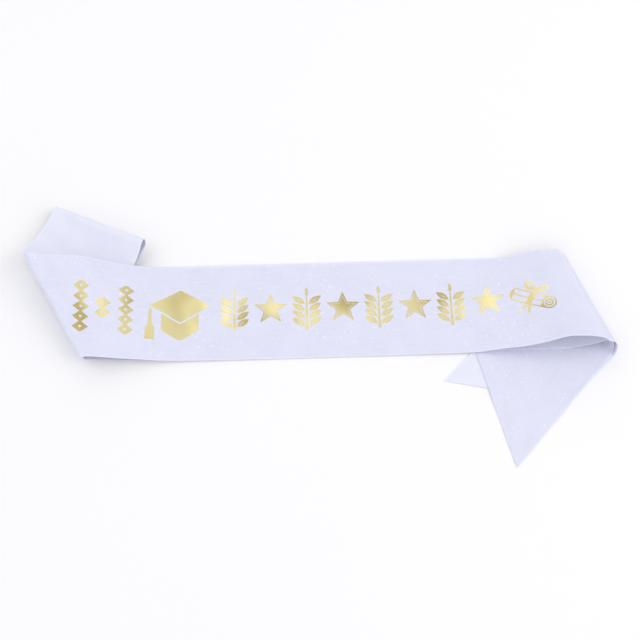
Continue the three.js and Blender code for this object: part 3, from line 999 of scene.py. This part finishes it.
# The cap seen from the front and above, in shares of its width and height
BOARD_SIDE = 0.19
BOARD_FRONT = -0.15
BOARD_SHADE = 0.036
CROWN_HALF = 0.31
CROWN_SIDE = -0.3
CROWN_ROUND = 0.14

# The tassel's right half, in shares of the cap's width and its own height
TASSEL = (
    (0.08, -0.5), (0.072, -0.08), (0.03, -0.04), (0.04, 0),
    (0.04, 0.05), (0.024, 0.06), (0.024, 0.5),
)


def cap_board():
    return (0, 0.5), (-0.5, BOARD_SIDE), (0, BOARD_FRONT), (0.5, BOARD_SIDE)


def cap_crown():
    slope = (BOARD_SIDE - BOARD_FRONT) / 0.5
    rim = BOARD_FRONT - BOARD_SHADE
    half, side = CROWN_HALF, CROWN_SIDE
    loop = [[-half, rim + slope * half], [0, rim], [half, rim + slope * half], [half, side]]
    loop += quadratic([half, side], [half * CROWN_ROUND, -0.5], [0, -0.5])
    return loop + quadratic([0, -0.5], [-half * CROWN_ROUND, -0.5], [-half, side])


# The rolled diploma in shares of its height: the line left by its edges, and the tails' lower ends
ROLL_LINE = 0.1
TAIL_CORNERS = (0.62, 0.5, 0.7)

# In shares of half its height: its near end, the sheet on it, and the rings of its spiral end
ROLL_FOOT = 0.5
ROLL_HOLLOW = 0.35
SHEET_START = 0.55
SHEET_END = 0.95
SPIRAL_RINGS = (0.78, 0.58, 0.36, 0.16)

# Its band in shares of its length, and the band's tails in shares of the line and of half the band
BAND_PLACE = -0.04
BAND_HALF = 0.055
TAIL_TOP = 0.3
TAIL_INNER = 0.12
TAIL_LEAN = 1.1


def diploma_roll_outline(length, height):
    """A rolled sheet in line, with its spiral end, and a band round it with two tails."""
    half = height / 2
    line = height * ROLL_LINE
    end, left = length / 2 - half, -length / 2
    band_x, half_band = BAND_PLACE * length, BAND_HALF * length
    foot = left + half * ROLL_FOOT
    body = [[foot, -half], [end, -half]]
    turns = np.linspace(-math.pi / 2, math.pi / 2, 15)[1:]
    body += [[end + half * math.cos(a), half * math.sin(a)] for a in turns]
    body += [[foot, half]]
    body += quadratic(body[-1], [left - half * ROLL_HOLLOW, 0], body[0])[:-1]
    loops = [body]
    sheet_start, sheet_end = left + half * SHEET_START, end - half * SHEET_END
    for low, high in ((line * 0.5, half - line), (line - half, -line * 0.5)):
        for start, stop in ((sheet_start, band_x - half_band), (band_x + half_band, sheet_end)):
            loops.append([[start, low], [stop, low], [stop, high], [start, high]])
    loops += [circle((end, 0), half * share) for share in SPIRAL_RINGS]
    top = -half - line * TAIL_TOP
    outer_end, notch, inner_end = (top - height * share for share in TAIL_CORNERS)
    for side in (-1, 1):
        inner, outer = band_x + side * half_band * TAIL_INNER, band_x + side * half_band
        lean = side * half_band * TAIL_LEAN
        loops.append([
            [inner, top], [outer, top], [outer + lean, outer_end],
            [(inner + outer) / 2 + lean, notch], [inner + lean, inner_end],
        ])
    return loops


# The right half of a bow in shares of its width and height: the curve points of its loop, from the
# knot round to the knot, and of the loop's opening
BOW_KNOT = (0.09, 0.12)
BOW_LOOP = ((0.3, 0.55), (0.5, 0.3), (0.46, -0.2))
BOW_EYE = ((0.17, 0.06), (0.3, 0.36), (0.41, 0.24), (0.36, -0.02))


def bow_outline(width, height):
    """The two loops and the knot of a bow, each loop with its opening."""
    knot, over, tip, under = scaled((BOW_KNOT, *BOW_LOOP), width, height)
    right = [knot, *quadratic(knot, over, tip), *quadratic(tip, under, [knot[0], -knot[1]])]
    loops = [mirrored(right)]
    for side in (-1, 1):
        root, over, tip, under = scaled(BOW_EYE, side * width, height)
        loops.append([root, *quadratic(root, over, tip, 5), *quadratic(tip, under, root, 5)[:-1]])
    return loops


def filled_sheet(name, loops):
    """The loops filled as a flat sheet, with the inner ones left open."""
    curve = bpy.data.curves.new(name, "CURVE")
    curve.dimensions = "2D"
    curve.fill_mode = "BOTH"
    for loop in loops:
        spline = curve.splines.new("POLY")
        spline.points.add(len(loop) - 1)
        for point, (x, y) in zip(spline.points, loop):
            point.co = (x, y, 0, 1)
        spline.use_cyclic_u = True
    holder = add_object(name + "_outline", curve)
    bpy.context.view_layer.update()
    evaluated = holder.evaluated_get(bpy.context.evaluated_depsgraph_get())
    mesh = bpy.data.meshes.new_from_object(evaluated)
    bpy.data.objects.remove(holder)
    bpy.data.curves.remove(curve)
    return mesh


# Where the first cut falls between two, how deep foil sinks into the threads as a share of its
# thickness, and how near two points are one
CUT_START = 0.37
SUNK_SHARE = 0.25
SAME_PLACE = 1e-6


def foil_mesh(name, loops, x, w, turn):
    """A foil piece: its flat outline, cut into small facets, thickened and laid over the cloth."""
    foil = foil_sizes()
    flat = filled_sheet(name, loops)
    if not flat.polygons:
        raise RuntimeError(f"the outline of {name} encloses nothing")
    sheet = bmesh.new()
    sheet.from_mesh(flat)
    bpy.data.meshes.remove(flat)
    bmesh.ops.remove_doubles(sheet, verts=sheet.verts, dist=SAME_PLACE)
    turned = Matrix.Rotation(turn, 3, "Z")
    bmesh.ops.rotate(sheet, verts=sheet.verts, cent=(0, 0, 0), matrix=turned)
    reach = [max(abs(vertex.co[k]) for vertex in sheet.verts) for k in (0, 1)]
    for k in (0, 1):
        normal = Vector((1 - k, k, 0))
        cuts = int(reach[k] / foil.cut_pitch)
        for i in range(-cuts, cuts + 1):
            parts = sheet.verts[:] + sheet.edges[:] + sheet.faces[:]
            cut = normal * (i + CUT_START) * foil.cut_pitch
            bmesh.ops.bisect_plane(
                sheet, geom=parts, dist=SAME_PLACE / 10, plane_co=cut, plane_no=normal
            )
    bmesh.ops.dissolve_degenerate(sheet, dist=SAME_PLACE, edges=sheet.edges)
    grown = bmesh.ops.extrude_face_region(sheet, geom=sheet.faces[:])
    raised = [part for part in grown["geom"] if isinstance(part, bmesh.types.BMVert)]
    bmesh.ops.translate(sheet, verts=raised, vec=(0, 0, foil.thickness))
    bmesh.ops.recalc_face_normals(sheet, faces=sheet.faces)
    mesh = bpy.data.meshes.new(name)
    sheet.to_mesh(mesh)
    sheet.free()
    places = np.zeros(len(mesh.vertices) * 3, np.float32)
    mesh.vertices.foreach_get("co", places)
    places = places.reshape(-1, 3).astype(float)
    along, across = x + places[:, 0], w + places[:, 1]
    above = places[:, 2] - SUNK_SHARE * foil.thickness
    laid = FoldedBand().over_upper_layer(along, across, above)
    mesh.vertices.foreach_set("co", laid.astype(np.float32).ravel())
    write_cloth_coordinates(mesh, np.stack([along, across], 1))
    finish_mesh(mesh)
    return mesh


# Where the ornaments lie, along the ribbon from its middle and across it, in shares of their pitch
MAIN_PITCHES = 14.5
BEAD_COLUMNS = ((5, -6.6), (2, -6.03), (5, -5.43))  # lozenges in a column, and its place
BEAD_WIDTH = 0.42
CAP_PLACE = (-3.98, -0.06)
CAP_WIDTH = 1.65
TASSEL_PLACE = (-4.79, -0.35)
FIRST_SPRIG = -2.48
ROW_PLACE = 0.06
SPRIG_WIDTH = 0.8
STAR_WIDTH = 0.98
DIPLOMA_PLACE = (5.72, -0.04)
DIPLOMA_LENGTH = 1.3
DIPLOMA_TURN = math.radians(-27)
BOW_PLACE = (5.81, 0.25)
BOW_WIDTH = 0.68


def ornament_pitch():
    return sizes().main_length / MAIN_PITCHES


def print_foil(node, loops, x, w, turn=0.0):
    """Prints one ornament in place of its CAD node. x and w are shares of the ornaments' pitch."""
    pitch = ornament_pitch()
    mesh = foil_mesh(node + "_foil", loops, x * pitch, w * pitch, turn)
    piece = add_object(node + "_foil", mesh)
    mesh.materials.append(shared(bpy.data.materials, "Gold foil", foil_material))
    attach(piece, "root")
    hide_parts(node)


class SASH_OT_bead_columns(bpy.types.Operator):
    """Print the three columns of lozenges at the left"""

    bl_idname = "sash.bead_columns"
    bl_label = "Bead columns"

    def execute(self, context):
        pitch = foil_sizes().bead_column_height / 5
        width = ornament_pitch() * BEAD_WIDTH
        for number, (count, x) in enumerate(BEAD_COLUMNS, 1):
            outline = bead_column_outline(count, width, count * pitch)
            print_foil(f"bead_column_{number}", outline, x, 0)
        return {"FINISHED"}


class SASH_OT_cap(bpy.types.Operator):
    """Print the mortarboard cap with its tassel"""

    bl_idname = "sash.cap"
    bl_label = "Cap"

    def execute(self, context):
        foil = foil_sizes()
        width = ornament_pitch() * CAP_WIDTH
        for node, loop, height, place in (
            ("cap_board", cap_board(), foil.cap_height, CAP_PLACE),
            ("cap_crown", cap_crown(), foil.cap_height, CAP_PLACE),
            ("cap_tassel", mirrored(TASSEL), foil.tassel_height, TASSEL_PLACE),
        ):
            print_foil(node, [scaled(loop, width, height)], *place)
        return {"FINISHED"}


class SASH_OT_sprigs_and_stars(bpy.types.Operator):
    """Print the row of laurel sprigs and stars along the middle"""

    bl_idname = "sash.sprigs_and_stars"
    bl_label = "Sprigs and stars"

    def execute(self, context):
        pitch = ornament_pitch()
        for number in range(1, 5):
            x = FIRST_SPRIG + 2 * (number - 1)
            sprig = sprig_outline(4, pitch * SPRIG_WIDTH, foil_sizes().sprig_height)
            print_foil(f"sprig_{number}", sprig, x, ROW_PLACE)
            print_foil(f"star_{number}", star_outline(pitch * STAR_WIDTH), x + 1, ROW_PLACE)
        return {"FINISHED"}


class SASH_OT_diploma(bpy.types.Operator):
    """Print the rolled diploma and its bow"""

    bl_idname = "sash.diploma"
    bl_label = "Diploma"

    def execute(self, context):
        pitch = ornament_pitch()
        roll = diploma_roll_outline(pitch * DIPLOMA_LENGTH, foil_sizes().diploma_height)
        bow = bow_outline(pitch * BOW_WIDTH, foil_sizes().bow_height)
        print_foil("diploma_roll", roll, *DIPLOMA_PLACE, DIPLOMA_TURN)
        print_foil("diploma_bow", bow, *BOW_PLACE, DIPLOMA_TURN)
        return {"FINISHED"}


class SASH_OT_band(bpy.types.Operator):
    """Lay the folded satin ribbon under its foil prints"""

    bl_idname = "sash.band"
    bl_label = "Satin band"

    def execute(self, context):
        prints = [piece for piece in context.scene.objects if piece.name.endswith("_foil")]
        if not prints:
            raise RuntimeError("the ornaments come before the band that carries them")
        mesh, length = band_mesh(*FoldedBand().rows())
        piece = add_object("ribbon_cloth", mesh)
        front, back = tuple(looks().front), tuple(looks().back)
        for name, colour, glitter_cover, roughness in (
            ("Glitter satin, printed face", front, 0.09, 0.46),
            ("Smooth satin, plain face", back, 0, 0.4),
            ("Satin edge", shade(back, 0.98), 0, 0.6),
        ):
            mesh.materials.append(satin(name, colour, glitter_cover, roughness))
        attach(piece, "root")
        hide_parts("satin_band")
        return {"FINISHED"}


# The photograph's viewpoint, found from the outline of the sash
VIEW_ELEVATION = 64.96
VIEW_AZIMUTH = -1.78
VIEW_DISTANCE = 1121.8 * MM
FOCAL_PIXELS = 1215.8
ORIGIN_PIXEL = (324.2, 310.4)
IMAGE_PIXELS = 640
SENSOR_WIDTH = 36.0


def add_camera():
    elevation, azimuth = math.radians(VIEW_ELEVATION), math.radians(VIEW_AZIMUTH)
    back = Vector((
        math.sin(azimuth) * math.cos(elevation),
        -math.cos(azimuth) * math.cos(elevation),
        math.sin(elevation),
    ))
    data = bpy.data.cameras.new("camera")
    data.sensor_width = SENSOR_WIDTH
    data.lens = FOCAL_PIXELS / IMAGE_PIXELS * SENSOR_WIDTH
    data.shift_x = (IMAGE_PIXELS / 2 - ORIGIN_PIXEL[0]) / IMAGE_PIXELS
    data.shift_y = (ORIGIN_PIXEL[1] - IMAGE_PIXELS / 2) / IMAGE_PIXELS
    data.clip_start = 0.05
    data.clip_end = 50
    camera = add_object("camera", data)
    camera.location = back * VIEW_DISTANCE
    camera.rotation_mode = "QUATERNION"
    camera.rotation_quaternion = (-back).to_track_quat("-Z", "Y")
    bpy.context.scene.camera = camera


# Name, place and size in metres, power in watts and colour
SOFTBOXES = (
    ("key", (1.7, -0.2, 1.7), 1.6, 13, (1.0, 0.985, 0.965)),
    ("fill", (-1.5, 0.5, 1.8), 1.8, 7.5, (0.97, 0.98, 1.0)),
)


def add_softbox(name, place, size, power, colour):
    data = bpy.data.lights.new(name, "AREA")
    data.shape = "RECTANGLE"
    data.size = data.size_y = size
    data.energy = power
    data.color = colour
    light = add_object(name, data)
    light.location = place
    light.rotation_mode = "QUATERNION"
    light.rotation_quaternion = (-Vector(place)).to_track_quat("-Z", "Y")


PANEL_SCALE = 2.6
DIM_PANEL = (0.5, 0.5, 0.54)
BRIGHT_PANEL = (1.3, 1.295, 1.28)
STUDIO_STRENGTH = 0.98
FLOOR_REACH = 15.0


def add_studio_world():
    """A pale studio: even light, with broad soft panels that the foil reflects."""
    world = bpy.data.worlds.new("studio")
    world.use_nodes = True
    tree = world.node_tree
    background = tree.nodes["Background"]
    place = tree.nodes.new("ShaderNodeTexCoord").outputs["Generated"]
    panels = ramp_between(tree, noise_node(tree, place, PANEL_SCALE, 1.0, 0.3), 0.42, 0.58)
    colour = mix_colours(tree, panels, DIM_PANEL, BRIGHT_PANEL)
    seen = tree.nodes.new("ShaderNodeLightPath").outputs["Is Camera Ray"]
    colour = mix_colours(tree, seen, colour, (1.0, 1.0, 1.0))
    feed_named(tree, background, Color=colour, Strength=STUDIO_STRENGTH)
    bpy.context.scene.world = world


class SASH_OT_stage(bpy.types.Operator):
    """Set the floor, the lights and the camera"""

    bl_idname = "sash.stage"
    bl_label = "Stage"

    def execute(self, context):
        sides = (-1, -1), (1, -1), (1, 1), (-1, 1)
        corners = [(x * FLOOR_REACH, y * FLOOR_REACH, 0) for x, y in sides]
        mesh = bpy.data.meshes.new("floor")
        mesh.from_pydata(corners, [], [(0, 1, 2, 3)])
        mesh.materials.append(floor_material())
        floor = add_object("floor", mesh)
        add_studio_world()
        for box in SOFTBOXES:
            add_softbox(*box)
        context.scene.view_settings.view_transform = "Standard"
        add_camera()
        return {"FINISHED"}


class SASH_PT_panel(bpy.types.Panel):
    """The steps that make the sash"""

    bl_label = "Ribbon sash"
    bl_idname = "SASH_PT_panel"
    bl_space_type = "VIEW_3D"
    bl_region_type = "UI"
    bl_category = "Sash"

    def draw(self, context):
        for group in (sizes(), foil_sizes(), looks()):
            for name in group.__annotations__:
                self.layout.prop(group, name)
        for step in STEPS:
            self.layout.operator(step.bl_idname)


STEPS = (
    SASH_OT_bead_columns,
    SASH_OT_cap,
    SASH_OT_sprigs_and_stars,
    SASH_OT_diploma,
    SASH_OT_band,
    SASH_OT_stage,
)
SETTINGS = {"sash_band": SashBandSizes, "sash_foil": SashFoilSizes, "sash_looks": SashLooks}
CLASSES = (*SETTINGS.values(), *STEPS, SASH_PT_panel)


def register():
    for one in CLASSES:
        bpy.utils.register_class(one)
    for name, settings in SETTINGS.items():
        setattr(bpy.types.Scene, name, bpy.props.PointerProperty(type=settings))


def unregister():
    for name in SETTINGS:
        delattr(bpy.types.Scene, name)
    for one in reversed(CLASSES):
        bpy.utils.unregister_class(one)


def main():
    register()
    bpy.ops.sash.bead_columns()
    bpy.ops.sash.cap()
    bpy.ops.sash.sprigs_and_stars()
    bpy.ops.sash.diploma()
    bpy.ops.sash.band()
    bpy.ops.sash.stage()


if __name__ == "__main__":
    main()
